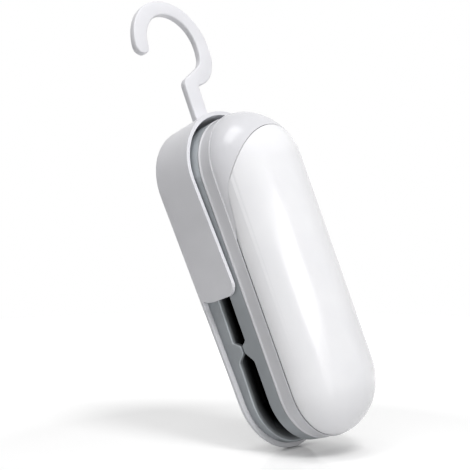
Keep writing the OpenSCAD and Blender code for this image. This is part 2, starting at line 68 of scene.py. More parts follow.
# the body is drawn square to its sealing slot, then set on the wedge-shaped back and opened at the hinge
body = {
    "radius": 18.5,
    "tailX": -34.0,
    "hookX": 34.0,
    "wedgeAngle": 3.0,
    "wedgeRise": 1.25,
    "hinge": (44.0, 0.0, 6.0),
    "openAngle": 1.41,
    "rearGap": 5.5,
    "frontGap": 9.35,
    "rimFoot": 14.65,
    "seam": 19.65,
    "domeHeight": 14.6,
    "domePower": 1.76,
    "shellWall": 1.2,
    "frameWall": 1.6,
    "bossRadius": 2.5,
    "shankRadius": 1.15,
    "pinHalf": 15.0,
    "switchX": 5.0,
    "faceBand": 0.1,
}
hingePoint = Vector(body["hinge"]) * mm
onWedge = (
    Matrix.Translation((0, 0, body["wedgeRise"] * mm))
    @ Matrix.Rotation(-math.radians(body["wedgeAngle"]), 4, "Y")
)
onLever = (
    onWedge
    @ Matrix.Translation(hingePoint)
    @ Matrix.Rotation(math.radians(body["openAngle"]), 4, "Y")
    @ Matrix.Translation(-hingePoint)
)

# limits of the mesh helpers, in mm and degrees
meshing = {
    "merge": 0.002,
    "sliver": 0.004,
    "sharpAngle": 40,
    "smoothAngle": 32,
    "pickedSegments": 4,
    "postSides": 40,
    "cutReach": 90,
    "cutHalf": 40,
    "toolPast": 1,
}


def only(piece):
    bpy.ops.object.select_all(action="DESELECT")
    piece.select_set(True)
    bpy.context.view_layer.objects.active = piece


def editAll(piece):
    only(piece)
    bpy.ops.object.mode_set(mode="EDIT")
    bpy.ops.mesh.select_all(action="SELECT")


def drawChain(name, points):
    # a plane shrunk to one vertex, then pulled from point to point
    bpy.ops.object.select_all(action="DESELECT")
    bpy.ops.mesh.primitive_plane_add(size=mm, location=Vector(points[0]) * mm)
    piece = bpy.context.object
    piece.name = piece.data.name = name
    bpy.ops.object.transform_apply(location=True, rotation=True, scale=True)
    bpy.ops.object.mode_set(mode="EDIT")
    bpy.ops.mesh.select_all(action="SELECT")
    bpy.ops.mesh.merge(type="CENTER")
    for start, end in zip(points, points[1:]):
        step = (Vector(end) - Vector(start)) * mm
        bpy.ops.mesh.extrude_region_move(TRANSFORM_OT_translate={"value": step})
    bpy.ops.mesh.select_all(action="SELECT")
    return piece


def closeMesh():
    # joins the seams and turns the faces outwards
    bpy.ops.mesh.select_all(action="SELECT")
    bpy.ops.mesh.remove_doubles(threshold=meshing["merge"] * mm)
    bpy.ops.mesh.normals_make_consistent(inside=False)
    bpy.ops.object.mode_set(mode="OBJECT")


def sweepPill(name, section, tailX, hookX, steps=36):
    # section is radius and height; it turns round the tail, runs up one side, turns round the hook end and runs back
    piece = drawChain(name, [(tailX, r, z) for r, z in section])
    run = (hookX - tailX) * mm
    bpy.ops.mesh.spin(steps=steps, angle=spinHalf, center=(tailX * mm, 0, 0), axis=(0, 0, 1))
    bpy.ops.mesh.extrude_region_move(TRANSFORM_OT_translate={"value": (run, 0, 0)})
    bpy.ops.mesh.spin(steps=steps, angle=spinHalf, center=(hookX * mm, 0, 0), axis=(0, 0, 1))
    bpy.ops.mesh.extrude_region_move(TRANSFORM_OT_translate={"value": (-run, 0, 0)})
    closeMesh()
    return piece


def pullOutline(name, outline, pull):
    # a flat outline filled and pulled into a solid
    piece = drawChain(name, outline)
    bpy.ops.mesh.edge_face_add()
    bpy.ops.mesh.extrude_region_move(TRANSFORM_OT_translate={"value": Vector(pull) * mm})
    closeMesh()
    return piece


def pullSide(name, outline, y, width):
    # a side view pulled across the part
    return pullOutline(name, [(x, y, z) for x, z in outline], (0, width, 0))


def arc(x, y, r, start, end, steps):
    turns = [math.radians(start + (end - start) * i / steps) for i in range(steps + 1)]
    return [(x + r * math.cos(a), y + r * math.sin(a)) for a in turns]


def setDown(piece, matrix):
    # puts a piece in its place and keeps the place in its mesh
    piece.matrix_world = matrix
    only(piece)
    bpy.ops.object.transform_apply(location=True, rotation=True, scale=True)
    return piece


def finishWith(piece, kind, **settings):
    only(piece)
    modifier = piece.modifiers.new(kind.title(), kind)
    for key, value in settings.items():
        setattr(modifier, key, value)
    bpy.ops.object.modifier_apply(modifier=modifier.name)


def carve(piece, tool, how):
    finishWith(piece, "BOOLEAN", object=tool, operation=how, solver="EXACT")
    bpy.data.objects.remove(tool)


def roundEdges(piece, width, segments=3, weld=True):
    editAll(piece)
    bpy.ops.mesh.dissolve_degenerate(threshold=meshing["sliver"] * mm)
    bpy.ops.object.mode_set(mode="OBJECT")
    finishWith(
        piece, "BEVEL", width=width * mm, segments=segments, limit_method="ANGLE",
        angle_limit=math.radians(meshing["sharpAngle"]), use_clamp_overlap=True, miter_outer="MITER_ARC",
    )
    smoothFaces(piece, weld)


def roundPicked(piece, width, pick, clamp=False):
    # rounds only the sharp edges whose ends both pass the pick
    editAll(piece)
    bpy.ops.mesh.select_mode(type="EDGE")
    bpy.ops.mesh.dissolve_degenerate(threshold=meshing["sliver"] * mm)
    bpy.ops.mesh.select_all(action="DESELECT")
    bpy.ops.mesh.edges_select_sharp(sharpness=math.radians(meshing["sharpAngle"]))
    bpy.ops.object.mode_set(mode="OBJECT")
    picked = [pick(v.co / mm) for v in piece.data.vertices]
    for e in piece.data.edges:
        e.select = e.select and picked[e.vertices[0]] and picked[e.vertices[1]]
    bpy.ops.object.mode_set(mode="EDIT")
    bpy.ops.mesh.bevel(
        offset=width * mm, segments=meshing["pickedSegments"], affect="EDGES", clamp_overlap=clamp
    )
    bpy.ops.mesh.select_mode(type="VERT")
    bpy.ops.object.mode_set(mode="OBJECT")


def weldSlivers(piece):
    # closes the slivers that the cuts leave
    editAll(piece)
    bpy.ops.mesh.remove_doubles(threshold=meshing["sliver"] * mm)
    bpy.ops.mesh.dissolve_degenerate(threshold=meshing["sliver"] * mm)
    bpy.ops.object.mode_set(mode="OBJECT")


def splitConcave(piece):
    # so that a wide bent face is not filled across its bays
    editAll(piece)
    bpy.ops.mesh.vert_connect_concave()
    bpy.ops.object.mode_set(mode="OBJECT")


def smoothFaces(piece, weld=True):
    if weld:
        weldSlivers(piece)
    only(piece)
    bpy.ops.object.shade_smooth_by_angle(angle=math.radians(meshing["smoothAngle"]))


def block(name, low, high):
    # a cube with its place in the mesh
    bpy.ops.object.select_all(action="DESELECT")
    middle = [(a + b) / 2 * mm for a, b in zip(low, high)]
    bpy.ops.mesh.primitive_cube_add(size=1, location=middle)
    piece = bpy.context.object
    piece.name = name
    piece.scale = [(b - a) * mm for a, b in zip(low, high)]
    bpy.ops.object.transform_apply(location=True, rotation=True, scale=True)
    return piece


def post(name, radius, foot, top, place):
    # an upright round column
    bpy.ops.object.select_all(action="DESELECT")
    bpy.ops.mesh.primitive_cylinder_add(
        vertices=meshing["postSides"], radius=radius * mm, depth=(top - foot) * mm,
        location=(place[0] * mm, place[1] * mm, (foot + top) / 2 * mm),
    )
    piece = bpy.context.object
    piece.name = name
    bpy.ops.object.transform_apply(location=True, rotation=True, scale=True)
    return piece


def cutBelow(piece, height):
    # keeps what is above a height over the back
    editAll(piece)
    bpy.ops.mesh.bisect(plane_co=(0, 0, height * mm), plane_no=(0, 0, 1), clear_inner=True, use_fill=True)
    closeMesh()
    return piece


# which way spin turns in this Blender, tried on a short edge
tryOut = 10
drawChain("spinTest", [(0, tryOut, 0), (0, tryOut + 1, 0)])
bpy.ops.mesh.spin(steps=4, angle=math.pi / 2, center=(0, 0, 0), axis=(0, 0, 1))
bpy.ops.object.mode_set(mode="OBJECT")
spinTest = bpy.context.object
turnsLeft = min(v.co.x for v in spinTest.data.vertices) < -tryOut / 2 * mm
spinHalf = math.pi if turnsLeft else -math.pi
bpy.data.objects.remove(spinTest)

# rear shell: flat back, guard wall round the upper half and hanging hook in one moulding
rearShell = {
    "outer": 20.1,
    "inner": 18.85,
    "hookX": 35.0,
    "plate": 1.8,
    "backEdge": 1.4,
    "wallTop": 26.0,
    "guardEnd": -0.9,
    "guardHeight": 15.7,
    "guardSlope": -0.015,
    "crownRise": 1.0,
    "crownRun": 18.0,
    "guardCorner": 3.6,
    "footSlant": ((1.3, 0.0), (0.7, 1.2), (0.25, 2.6), (0.0, 4.4)),
    "ledgeRound": 0.4,
    "ledgeEnd": -3.0,
    "edgeRound": 0.55,
    "roundFrom": 1.0,
    "roundSteps": 8,
    "cornerSteps": 10,
    "crownAt": (34, 40, 46, 52, 58),
    "cutTop": 40,
    "screws": [(-43.0, 9.0), (-43.0, -9.0), (34.0, 12.0), (34.0, -12.0)],
    "headRadius": 1.9,
    "headDepth": 1.0,
    "shankDepth": 3,
}


def makeRearShell(s):
    plate, outer, inner, turn = s["plate"], s["outer"], s["inner"], s["backEdge"]
    edge = arc(outer - turn, turn, turn, -90, 0, s["roundSteps"])
    section = [(0, 0)] + edge + [(outer, s["wallTop"]), (inner, s["wallTop"]), (inner, plate), (0, plate)]
    shell = sweepPill("rearShell", section, body["tailX"], s["hookX"])

    def edgeAt(x):
        past = max(0, x - body["hookX"]) / s["crownRun"]
        return s["guardHeight"] + (x - body["hookX"]) * s["guardSlope"] + s["crownRise"] * past * past

    # everything in front of the guard's edge and below its end goes
    far, half, top = meshing["cutReach"], meshing["cutHalf"], s["cutTop"]
    foot = [(s["guardEnd"] + x, plate + z) for x, z in s["footSlant"]]
    bend = s["guardCorner"]
    cornerX = s["guardEnd"] + bend
    corner = arc(cornerX, edgeAt(cornerX) - bend, bend, 180, 90, s["cornerSteps"])
    crown = [(x, edgeAt(x)) for x in s["crownAt"]]
    outline = [(-far, plate)] + foot + corner + crown + [(far, crown[-1][1]), (far, top), (-far, top)]
    carve(shell, pullSide("guardTool", outline, -half, 2 * half), "DIFFERENCE")
    carve(shell, ledgeTool(s), "DIFFERENCE")
    return shell


def ledgeTool(s):
    # rounds the ledge's outer edge from the guard's end round the tail
    turn = s["ledgeRound"]
    into, under = s["outer"] - turn, s["plate"] - turn
    out, over = s["outer"] + meshing["toolPast"], s["plate"] + meshing["toolPast"]
    edge = arc(into, under, turn, 90, 0, s["roundSteps"])
    section = edge + [(out, under), (out, over), (into, over), edge[0]]
    tool = sweepPill("ledgeTool", section, body["tailX"], s["hookX"])
    editAll(tool)
    bpy.ops.mesh.bisect(
        plane_co=(s["ledgeEnd"] * mm, 0, 0), plane_no=(1, 0, 0), clear_outer=True, use_fill=True
    )
    closeMesh()
    return tool


hook = {
    "centre": (78.85, 1.95),
    "outer": 16.0,
    "inner": 10.7,
    "innerRaise": 0.7,
    "endAngle": 6.5,
    "bendRadius": 10.8,
    "bendDrop": 1.4,
    "bendTurn": 63.0,
    "stemMiddle": 2.3,
    "stemHalf": 3.0,
    "stemFoot": -24.1,
    "back": 4.1,
    "front": 6.4,
    "edgeRound": 0.45,
    "edgeSegments": 4,
    "loopSteps": (60, 54),
    "bendSteps": (26, 16),
    "stemSteps": 10,
    "tipSteps": 16,
}


def makeHook(s):
    # u to the viewer's right and v up, about the loop's centre: loop, bend, stem and back along the inside
    outer, inner, drop, lift = s["outer"], s["inner"], s["bendDrop"], s["innerRaise"]
    bendX = math.sqrt(outer ** 2 - drop ** 2) - s["bendRadius"]
    bendInner = math.sqrt(inner ** 2 - (drop + lift) ** 2) - bendX
    turn = math.radians(s["bendTurn"])
    half = s["stemHalf"]
    left, right = s["stemMiddle"] - half, s["stemMiddle"] + half
    # the bend's straight run touches the rounded top of the stem
    reach = bendX * math.cos(turn) + drop * math.sin(turn) + bendInner
    stemTop = (s["stemMiddle"] * math.cos(turn) - reach - half) / math.sin(turn)
    endAngle = math.radians(s["endAngle"])
    endMiddle = (outer + inner) / 2
    endTurn = math.degrees(math.asin(math.sin(endAngle) - lift / inner))
    loopEnd = -math.degrees(math.asin(drop / outer))
    bendEnd = -math.degrees(math.acos((right - bendX) / s["bendRadius"]))
    innerStart = -math.degrees(math.asin((drop + lift) / inner))
    outerSteps, innerSteps = s["loopSteps"]
    bendOutSteps, bendInSteps = s["bendSteps"]
    outline = arc(0, 0, outer, 180 - s["endAngle"], loopEnd, outerSteps)
    outline += arc(bendX, -drop, s["bendRadius"], 0, bendEnd, bendOutSteps)[1:]
    outline += [(right, s["stemFoot"]), (left, s["stemFoot"])]
    outline += arc(s["stemMiddle"], stemTop, half, 180, 180 - s["bendTurn"], s["stemSteps"])
    outline += arc(bendX, -drop, bendInner, -s["bendTurn"], 0, bendInSteps)
    outline += arc(0, lift, inner, innerStart, 180 - endTurn, innerSteps)[1:]
    tip = (-endMiddle * math.cos(endAngle), endMiddle * math.sin(endAngle), (outer - inner) / 2)
    outline += arc(*tip, -s["endAngle"], -s["endAngle"] - 180, s["tipSteps"])[1:-1]
    x, y = s["centre"]
    points = [(x + v, y - u, s["back"]) for u, v in outline]
    piece = pullOutline("hookBar", points, (0, 0, s["front"] - s["back"]))
    roundEdges(piece, s["edgeRound"], segments=s["edgeSegments"])
    return setDown(piece, onWedge)


def drillScrewHoles(shell, s):
    out = -meshing["toolPast"]
    tools = [post("screwHole", s["headRadius"], out, s["headDepth"], place) for place in s["screws"]]
    tools += [post("shankHole", body["shankRadius"], out, s["shankDepth"], place) for place in s["screws"]]
    for tool in tools:
        carve(shell, tool, "DIFFERENCE")


shellPiece = makeRearShell(rearShell)
guardFoot = rearShell["plate"] + rearShell["roundFrom"]
roundPicked(shellPiece, rearShell["edgeRound"], lambda point: point.z > guardFoot, clamp=True)
carve(shellPiece, makeHook(hook), "UNION")
drillScrewHoles(shellPiece, rearShell)
smoothFaces(shellPiece)
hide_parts("rear_shell")
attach(shellPiece, "base")
print("rear shell:", len(shellPiece.data.polygons), "faces")

# bag-edge stops: low bumps with eased flanks on the gap edges
stops = {
    "x": -17.0,
    "up": 2.7,
    "down": 4.3,
    "flat": 0.7,
    "rearTip": 8.3,
    "frontTip": 7.5,
    "spare": 1,
}


def flank(start, end, steps=10):
    # an eased rise or fall between two points
    turns = [i / steps for i in range(steps + 1)]
    (x0, z0), (x1, z1) = start, end
    return [(x0 + (x1 - x0) * t, z0 + (z1 - z0) * t * t * (3 - 2 * t)) for t in turns]


def gapEdge(tailFoot, tip, hookFoot):
    # side view of a gap edge from the tail to the hook, with the bump in it
    near, far = stops["x"] - stops["flat"], stops["x"] + stops["flat"]
    edge = flank(tailFoot, (near, tip)) + flank((far, tip), hookFoot)
    reach = meshing["cutReach"]
    return [(-reach, tailFoot[1])] + edge + [(reach, hookFoot[1])]


def cutAlong(piece, edge, level, matrix):
    # takes away everything between the edge and a level
    outline = edge + [(edge[-1][0], level), (edge[0][0], level)]
    half = meshing["cutHalf"]
    tool = pullSide("gapTool", outline, -half, 2 * half)
    carve(piece, setDown(tool, matrix), "DIFFERENCE")


def pinTool(radius, matrix):
    # the hinge pin's hole, drawn upright and laid across the part
    tool = post("pinHole", radius, -body["pinHalf"], body["pinHalf"], (0, 0))
    lay = Matrix.Translation(hingePoint) @ Matrix.Rotation(math.pi / 2, 4, "X")
    return setDown(tool, matrix @ lay)


def onOuterFace(x, y):
    # on the body's outside, seen from above
    return math.hypot(max(0, abs(x) - body["hookX"]), y) > body["radius"] - body["faceBand"]


# rear frame: grey tray between the back and the slot
rearFrame = {
    "under": -12.0,
    "floorTop": 2.8,
    "shelfIn": 13.0,
    "shelfDrop": 0.4,
    "shelfStep": 0.4,
    "seatX": (-35.5, -24.5),
    "seatY": 13.5,
    "earY": (6.0, 9.0),
    "earRadius": 2.6,
    "earSteps": 16,
    "knuckleRoom": ((43.0, -5.9, 3.3), (46.6, 5.9, 14.0)),
    "padTop": 8.19,
    "padThickness": 2.0,
    "switchPost": {"radius": 2.5, "top": 8.2},
    "springPeg": {"x": 24.0, "radius": 2.75, "top": 5.6},
    "bossTop": 4.2,
    "sink": 0.2,
    "pinRadius": 1.27,
    "hollowTop": 20,
    "cutTop": 40,
    "edgeRound": 0.3,
    "edgeBand": 0.3,
}


def makeEars(s):
    # two ears with round tops, standing on the floor
    x, _, z = body["hinge"]
    r = s["earRadius"]
    outline = arc(x, z, r, 180, 0, s["earSteps"]) + [(x + r, s["under"]), (x - r, s["under"])]
    near, far = s["earY"]
    return [pullSide("ear", outline, y, far - near) for y in (near, -far)]


def makeRearFrame(s):
    r, gap, under = body["radius"], body["rearGap"], s["under"]
    top = stops["rearTip"] + stops["spare"]
    section = [(0, under), (r, under), (r, top), (0, top)]
    tray = sweepPill("rearFrame", section, body["tailX"], body["hookX"])
    cutBelow(setDown(tray, onWedge), rearShell["plate"])
    # a shelf inside the wall, falling a little towards the middle
    shelf, inner, high = s["shelfIn"], r - body["frameWall"], s["hollowTop"]
    level = gap - s["shelfStep"]
    section = [
        (0, under), (shelf, under), (shelf, level - s["shelfDrop"]), (inner, level), (inner, high), (0, high),
    ]
    hollow = sweepPill("hollow", section, body["tailX"], body["hookX"])
    edge = gapEdge((stops["x"] - stops["down"], gap), stops["rearTip"], (stops["x"] + stops["up"], gap))
    cutAlong(tray, edge, s["cutTop"], onWedge)
    carve(tray, cutBelow(setDown(hollow, onWedge), s["floorTop"]), "DIFFERENCE")
    carve(tray, block("knuckleRoom", *s["knuckleRoom"]), "DIFFERENCE")
    inside = makeEars(s)
    tailEnd, hookEnd = s["seatX"]
    seatY, seatTop = s["seatY"], s["padTop"] - s["padThickness"]
    inside.append(block("padSeat", (tailEnd, -seatY, under), (hookEnd, seatY, seatTop)))
    switch, peg = s["switchPost"], s["springPeg"]
    inside.append(post("switchPost", switch["radius"], under, switch["top"], (body["switchX"], 0)))
    foot = s["floorTop"] - s["sink"]
    for piece in inside:
        cutBelow(setDown(piece, onWedge), foot)
    inside.append(post("springPeg", peg["radius"], foot, peg["top"], (peg["x"], 0)))
    inside += [post("boss", body["bossRadius"], foot, s["bossTop"], place) for place in rearShell["screws"]]
    for piece in inside:
        carve(tray, piece, "UNION")
    carve(tray, pinTool(s["pinRadius"], onWedge), "DIFFERENCE")
    square = onWedge.inverted()

    def onGapEdge(point):
        x, y, z = square @ (point * mm) / mm
        return onOuterFace(x, y) and z > gap - s["edgeBand"]

    roundPicked(tray, s["edgeRound"], onGapEdge)
    smoothFaces(tray)
    splitConcave(tray)
    return tray


rearFramePiece = makeRearFrame(rearFrame)
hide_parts("rear_frame")
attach(rearFramePiece, "base")
print("rear frame:", len(rearFramePiece.data.polygons), "faces")

# front frame: grey ring with a floor, knuckles on the pin and the matching stops
frontFrame = {
    "floor": 10.35,
    "deck": 11.35,
    "mouthX": -21.9,
    "mouthCut": 0.8,
    "knuckleY": (2.6, 5.6),
    "knuckleRadius": 2.6,
    "knuckleSteps": 16,
    "knuckleSink": 0.3,
    "screwX": 44.1,
    "screwY": 11.22,
    "bossSink": 0.2,
    "bossGap": 0.05,
    "plungerHole": 1.55,
    "pinHole": 1.3,
    "cutLow": -30,
    "edgeRound": 0.25,
}
frontScrews = [(sx * frontFrame["screwX"], sy * frontFrame["screwY"]) for sx in (-1, 1) for sy in (-1, 1)]


def makeFrontFrame(s):
    r, wall = body["radius"], body["frameWall"]
    gap, rim = body["frontGap"], body["rimFoot"]
    low = stops["frontTip"] - stops["spare"]
    section = [
        (0, s["floor"]), (r - wall, s["floor"]), (r - wall, low), (r, low),
        (r, rim), (r - wall, rim), (r - wall, s["deck"]), (0, s["deck"]),
    ]
    ring = sweepPill("frontFrame", section, body["tailX"], body["hookX"])
    mouth = (s["mouthX"], gap + s["mouthCut"])
    edge = gapEdge(mouth, stops["frontTip"], (stops["x"] + stops["up"], gap))
    cutAlong(ring, edge, s["cutLow"], Matrix())
    x, _, z = body["hinge"]
    kr, root = s["knuckleRadius"], s["floor"] + s["knuckleSink"]
    near, far = s["knuckleY"]
    outline = arc(x, z, kr, 0, -180, s["knuckleSteps"]) + [(x - kr, root), (x + kr, root)]
    added = [pullSide("knuckle", outline, y, far - near) for y in (near, -far)]
    foot, top = s["deck"] - s["bossSink"], rim - s["bossGap"]
    added += [post("boss", body["bossRadius"], foot, top, place) for place in frontScrews]
    for piece in added:
        carve(ring, piece, "UNION")
    tools = [post("plungerHole", s["plungerHole"], gap, rim, (body["switchX"], 0))]
    past = rim + meshing["toolPast"]
    tools += [post("screwHole", body["shankRadius"], gap, past, place) for place in frontScrews]
    tools.append(pinTool(s["pinHole"], Matrix()))
    for tool in tools:
        carve(ring, tool, "DIFFERENCE")

    def onGapEdge(point):
        return onOuterFace(point.x, point.y) and point.z < s["deck"]

    roundPicked(ring, s["edgeRound"], onGapEdge)
    smoothFaces(ring)
    return setDown(ring, onLever)


frontFramePiece = makeFrontFrame(frontFrame)
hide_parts("front_frame")
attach(frontFramePiece, "lever")
print("front frame:", len(frontFramePiece.data.polygons), "faces")

# front shell and battery door: one dome parted along an arch
dome = {
    "step": 0.25,
    "archTop": 44.3,
    "archRadius": 17.7,
    "archSpread": 1.2,
    "seamGap": 0.2,
    "archGap": 0.16,
    "rimCut": 0.02,
    "rimFootRound": 0.22,
    "lipHeight": 0.6,
    "lipRound": 0.18,
    "scoop": 0.24,
    "rimTopIn": 0.06,
    "rimTopRound": 0.12,
    "doorFootRound": 0.3,
    "edgeRound": 0.08,
    "steps": 30,
    "archSides": 128,
    "archDepth": 40,
    "archPull": 110,
    "bandSteps": 8,
    "turnSteps": 4,
    "lipTurn": 60,
    "bossGap": 0.05,
    "bossDrop": 0.4,
    "doorFootSteps": 6,
    "doorFootIn": 0.01,
    "doorStart": 0.05,
    "doorToolDrop": 1,
}


def domeArc(inset):
    # half of the dome's section, from the seam to the crest
    w, h = body["radius"] - dome["step"] - inset, body["domeHeight"] - inset
    turns = [math.pi / 2 * i / dome["steps"] for i in range(dome["steps"] + 1)]
    power = 2 / body["domePower"]
    seam = body["seam"]
    curve = [(w * abs(math.cos(a)) ** power, seam + h * math.sin(a) ** power) for a in turns[:-1]]
    return curve + [(0, seam + h)]


def archTool(grow, low):
    # a round column whose tail half is drawn out past the tail and spread a little
    r, tall = dome["archRadius"] + grow, dome["archDepth"]
    foot = dome["archTop"] - dome["archRadius"]
    bpy.ops.object.select_all(action="DESELECT")
    bpy.ops.mesh.primitive_cylinder_add(
        vertices=dome["archSides"], radius=r * mm, depth=tall * mm, location=(0, 0, (low + tall / 2) * mm)
    )
    tool = bpy.context.object
    bpy.ops.object.transform_apply(location=True, rotation=True, scale=True)
    bpy.ops.object.mode_set(mode="EDIT")
    bpy.ops.mesh.select_all(action="DESELECT")
    bpy.ops.object.mode_set(mode="OBJECT")
    for v in tool.data.vertices:
        v.select = v.co.x < -meshing["sliver"] * mm
    bpy.ops.object.mode_set(mode="EDIT")
    bpy.ops.transform.resize(value=(1, dome["archSpread"], 1), center_override=(0, 0, 0))
    bpy.ops.transform.translate(value=(-dome["archPull"] * mm, 0, 0))
    bpy.ops.mesh.select_all(action="SELECT")
    bpy.ops.transform.translate(value=(foot * mm, 0, 0))
    closeMesh()
    return tool


def makeFrontShell():
    r, wall = body["radius"], body["shellWall"]
    rim, seam = body["rimFoot"], body["seam"]
    foot, top, scoop, steps = dome["rimFootRound"], dome["rimTopRound"], dome["scoop"], dome["turnSteps"]
    lip, lipRound, topIn = rim + dome["lipHeight"], dome["lipRound"], dome["rimTopIn"]
    # a lip at the foot, then a band that leans out towards its top
    scoopZ = lip + scoop
    band = []
    for i in range(dome["bandSteps"] + 1):
        t = i / dome["bandSteps"]
        band.append((r - scoop + (scoop - topIn) * t * t, scoopZ + (seam - top - scoopZ) * t))
    section = domeArc(wall)[::-1] + [(r - wall, seam), (r - wall, rim)]
    section += arc(r - foot, rim + foot, foot, -90, 0, steps)
    section += arc(r - lipRound, lip - lipRound, lipRound, 0, dome["lipTurn"], steps) + band
    section += arc(r - topIn - top, seam - top, top, 0, 90, steps)[1:] + domeArc(0)
    shell = sweepPill("frontShell", section, body["tailX"], body["hookX"])
    low, high = rim + dome["bossGap"], seam - dome["bossDrop"]
    for boss in [post("boss", body["bossRadius"], low, high, place) for place in frontScrews]:
        carve(shell, boss, "UNION")
    carve(shell, archTool(dome["archGap"], seam - dome["rimCut"]), "DIFFERENCE")
    roundEdges(shell, dome["edgeRound"])
    return setDown(shell, onLever)


def makeDoor():
    wall, turn, start = body["shellWall"], dome["doorFootRound"], dome["doorStart"]
    low = body["seam"] + dome["seamGap"]
    inner = [p for p in domeArc(wall)[::-1] if p[1] > low + start]
    outer = [p for p in domeArc(0) if p[1] > low + turn + start]
    w = body["radius"] - dome["step"]
    foot = arc(w - turn - dome["doorFootIn"], low + turn, turn, -90, 0, dome["doorFootSteps"])
    section = inner + [(w - wall, low)] + foot + outer
    door = sweepPill("batteryDoor", section, body["tailX"], body["hookX"])
    carve(door, archTool(0, body["seam"] - dome["doorToolDrop"]), "INTERSECT")
    roundEdges(door, dome["edgeRound"], weld=False)
    return setDown(door, onLever)


frontShellPiece = makeFrontShell()
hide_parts("front_shell")
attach(frontShellPiece, "lever")
print("front shell:", len(frontShellPiece.data.polygons), "faces")

doorPiece = makeDoor()
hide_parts("battery_door")
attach(doorPiece, "door")
print("battery door:", len(doorPiece.data.polygons), "faces")


def colour(code):
    parts = [int(code[i:i + 2], 16) / 255 for i in (1, 3, 5)]
    return [p / 12.92 if p <= 0.04045 else ((p + 0.055) / 1.055) ** 2.4 for p in parts] + [1]


def addNode(tree, kind, settings=None, links=None):
    made = tree.nodes.new(kind)
    for key, value in (settings or {}).items():
        if isinstance(key, int) or key in made.inputs:
            made.inputs[key].default_value = value
        else:
            setattr(made, key, value)
    for key, source in (links or {}).items():
        tree.links.new(source, made.inputs[key])
    return made


def startMaterial(name):
    made = bpy.data.materials.new(name)
    made.use_nodes = True
    tree = made.node_tree
    shader = tree.nodes["Principled BSDF"]
    place = addNode(tree, "ShaderNodeTexCoord").outputs["Object"]
    return made, tree, shader, place


def paintedSlotShade(tree, place, s):
    # painted shade: the slot is darkened inside, fading in from the outer face, measured from the body's middle line
    half = addNode(tree, "ShaderNodeVectorMath", {"operation": "ABSOLUTE"}, {0: place})
    straight = (body["hookX"] * mm, 0, 0)
    ends = addNode(tree, "ShaderNodeVectorMath", {"operation": "SUBTRACT", 1: straight}, {0: half.outputs[0]})
    past = addNode(tree, "ShaderNodeVectorMath", {"operation": "MAXIMUM", 1: (0, 0, 0)}, {0: ends.outputs[0]})
    flat = addNode(tree, "ShaderNodeVectorMath", {"operation": "MULTIPLY", 1: (1, 1, 0)}, {0: past.outputs[0]})
    out = addNode(tree, "ShaderNodeVectorMath", {"operation": "LENGTH"}, {0: flat.outputs[0]}).outputs["Value"]
    near, far = s["darkMm"]
    ramp = addNode(tree, "ShaderNodeMapRange", {"From Min": near * mm, "From Max": far * mm}, {"Value": out})
    fall = addNode(tree, "ShaderNodeMath", {"operation": "POWER", 1: s["darkPower"]}, {0: ramp.outputs["Result"]})
    corner = paintedCreaseShade(tree, place, s)
    shade = addNode(tree, "ShaderNodeMath", {"operation": "MULTIPLY"}, {0: fall.outputs["Value"], 1: corner})
    # painted highlight: the rounded edge is made paler than the flat faces, where light would catch it
    start, full, fade, end = [r * mm for r in s["edgeMm"]]
    rise = addNode(tree, "ShaderNodeMapRange", {"From Min": start, "From Max": full}, {"Value": out})
    drop = addNode(tree, "ShaderNodeMapRange", {"From Min": end, "From Max": fade}, {"Value": out})
    line = addNode(
        tree, "ShaderNodeMath", {"operation": "MULTIPLY"}, {0: rise.outputs["Result"], 1: drop.outputs["Result"]}
    )
    pale = addNode(
        tree, "ShaderNodeMapRange", {"To Min": 1.0, "To Max": s["edgeHighlight"]}, {"Value": line.outputs["Value"]}
    )
    both = addNode(
        tree, "ShaderNodeMath", {"operation": "MULTIPLY"}, {0: shade.outputs["Value"], 1: pale.outputs["Result"]}
    )
    return both.outputs["Value"]


# settings of the painted crease shade
crease = {"samples": 12, "closed": 0.3, "open": 0.97}


def paintedCreaseShade(tree, place, s):
    # painted shade: inner corners and creases a little darker, from an occlusion node
    corner = addNode(
        tree, "ShaderNodeAmbientOcclusion", {"samples": crease["samples"], "Distance": s["creaseMm"] * mm}
    )
    shade = addNode(
        tree, "ShaderNodeMapRange",
        {"From Min": crease["closed"], "From Max": crease["open"], "To Min": s["creaseShade"]},
        {"Value": corner.outputs["AO"]},
    )
    return shade.outputs["Result"]


def paintedLedgeShade(tree, place, s):
    # painted shade: the narrow ledge beside the rear frame is made a shade greyer on its top
    split = addNode(tree, "ShaderNodeSeparateXYZ", {}, {"Vector": place}).outputs
    low, foot, top, high = [z * mm for z in s["ledgeMm"]]
    end = rearShell["ledgeEnd"] * mm
    under = addNode(tree, "ShaderNodeMapRange", {"From Min": foot, "From Max": low}, {"Value": split["Z"]})
    above = addNode(tree, "ShaderNodeMapRange", {"From Min": top, "From Max": high}, {"Value": split["Z"]})
    past = addNode(tree, "ShaderNodeMapRange", {"From Min": end, "From Max": end + mm}, {"Value": split["X"]})
    keep = addNode(
        tree, "ShaderNodeMath", {"operation": "MAXIMUM"}, {0: under.outputs["Result"], 1: above.outputs["Result"]}
    )
    keep = addNode(
        tree, "ShaderNodeMath", {"operation": "MAXIMUM"}, {0: keep.outputs["Value"], 1: past.outputs["Result"]}
    )
    shade = addNode(tree, "ShaderNodeMapRange", {"To Min": s["ledgeShade"]}, {"Value": keep.outputs["Value"]})
    return shade.outputs["Result"]


moulded = {"driftDetail": 2.0, "driftEnds": (0.3, 0.7), "grainDetail": 3.0}


